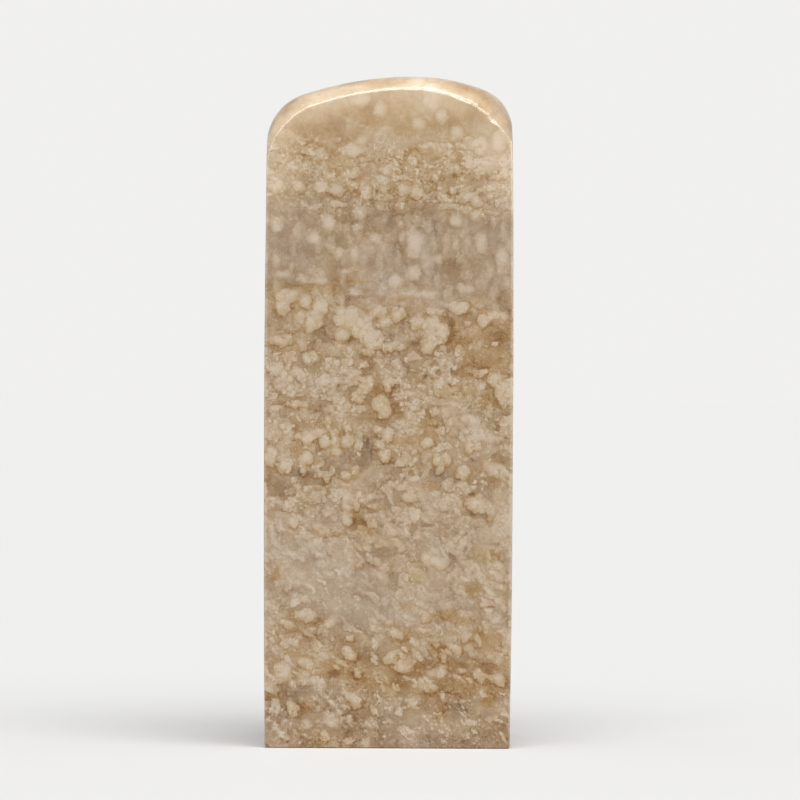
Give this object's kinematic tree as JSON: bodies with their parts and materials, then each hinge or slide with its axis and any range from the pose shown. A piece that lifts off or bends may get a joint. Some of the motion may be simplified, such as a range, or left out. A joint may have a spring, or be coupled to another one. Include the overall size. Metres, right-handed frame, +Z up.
{
  "type": "seal stamp",
  "caption": "Upright square-section stone seal with an arched top, bevelled arch edges and a flat stamping face carved with a mirrored key fret",
  "frame": {"origin": "middle of the stamping face, on the surface that the seal stands on", "axes": "+Z up, from the stamping face to the arched top; the front face looks along -Y; +X to the right seen from the front"},
  "size_m": [0.03, 0.03, 0.081],
  "materials": {
    "stone": "gloss"
  },
  "bodies": {
    "root": {"seal_stone": "stone"}
  },
  "joints": []
}
